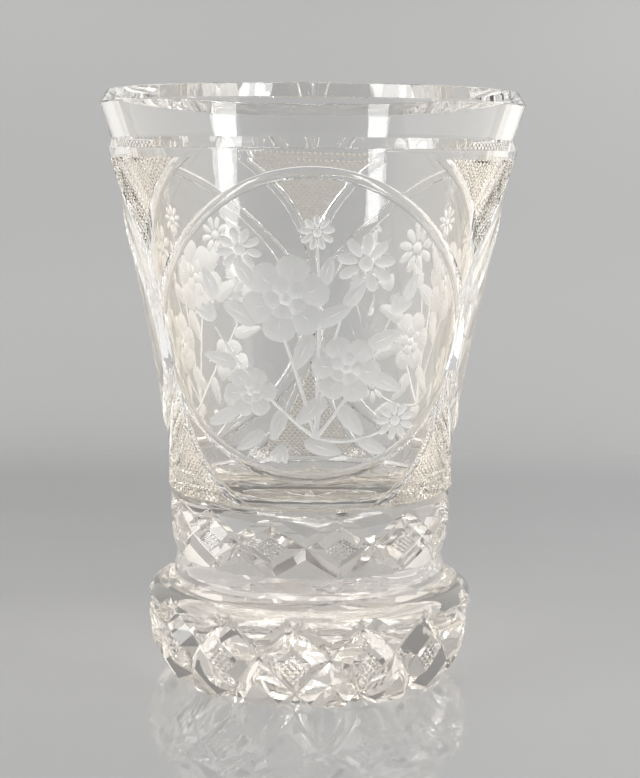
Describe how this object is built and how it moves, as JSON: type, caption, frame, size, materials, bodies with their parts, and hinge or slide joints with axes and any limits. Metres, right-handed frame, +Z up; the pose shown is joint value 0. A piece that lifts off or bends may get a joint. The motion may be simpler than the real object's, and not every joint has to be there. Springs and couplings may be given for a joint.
{
  "type": "footed beaker",
  "caption": "Flared beaker of clear cut glass with round windows in sunk frames, a mitre-cut frieze, a plain collar and a thick foot cut with large diamonds.",
  "frame": {"origin": "on the axis of the beaker, at the plane its foot rests on", "axes": "+Z up along the axis of the beaker; -Y is the side with the window that the picture shows from the front, +X to its right"},
  "size_m": [0.09, 0.09, 0.125],
  "materials": {
    "clear_glass": "polished, with matte engraving in the windows"
  },
  "bodies": {
    "root": {"bowl": "clear_glass", "collar": "clear_glass", "foot": "clear_glass"}
  },
  "joints": []
}
